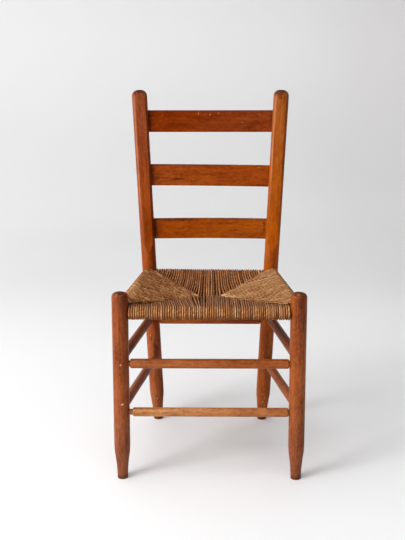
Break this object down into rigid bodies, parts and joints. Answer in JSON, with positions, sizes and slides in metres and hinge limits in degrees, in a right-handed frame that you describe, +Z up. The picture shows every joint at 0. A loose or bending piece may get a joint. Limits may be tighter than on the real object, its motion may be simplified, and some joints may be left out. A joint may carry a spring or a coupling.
{
  "type": "ladderback chair",
  "caption": "Armless ladderback side chair with turned legs, curved back slats, round stretcher rungs and a woven rush seat.",
  "frame": {"origin": "on the floor, at the centre of the chair's bounding box", "axes": "+Z up, the chair faces -Y, +X to the right as seen from the front"},
  "size_m": [0.4516, 0.4268, 0.8948],
  "materials": {
    "leg_wood": "red-brown stained maple, satin varnish",
    "post_left_wood": "red-brown stained maple, satin varnish",
    "post_right_wood": "orange-brown stained maple, satin varnish",
    "slat_dark_wood": "dark red-brown varnish",
    "slat_mid_wood": "red-brown varnish",
    "slat_light_wood": "golden brown varnish with dark edges",
    "rail_wood": "bare turned hardwood",
    "rung_wood": "red-brown varnish",
    "rung_light_wood": "worn golden brown varnish",
    "rung_side_wood": "red-brown varnish",
    "rush": "twisted rush cord, dry and slightly glossy",
    "stuffing": "loose dry rush leaf",
    "tack_steel": "blued steel"
  },
  "bodies": {
    "root": {"front_leg_left": "leg_wood", "front_leg_right": "leg_wood", "back_post_left": "post_left_wood", "back_post_right": "post_right_wood", "top_slat": "slat_dark_wood", "middle_slat": "slat_mid_wood", "bottom_slat": "slat_light_wood", "front_seat_rail": "rail_wood", "back_seat_rail": "rail_wood", "left_seat_rail": "rail_wood", "right_seat_rail": "rail_wood", "front_rung_upper": "rung_wood", "front_rung_lower": "rung_light_wood", "left_rung_upper": "rung_side_wood", "left_rung_lower": "rung_side_wood", "right_rung_upper": "rung_side_wood", "right_rung_lower": "rung_side_wood", "back_rung": "rung_wood", "seat_rush_front": "rush", "seat_rush_back": "rush", "seat_rush_left": "rush", "seat_rush_right": "rush", "stuffing_front": "stuffing", "stuffing_back": "stuffing", "stuffing_left": "stuffing", "stuffing_right": "stuffing", "rush_tacks": "tack_steel"}
  },
  "joints": []
}
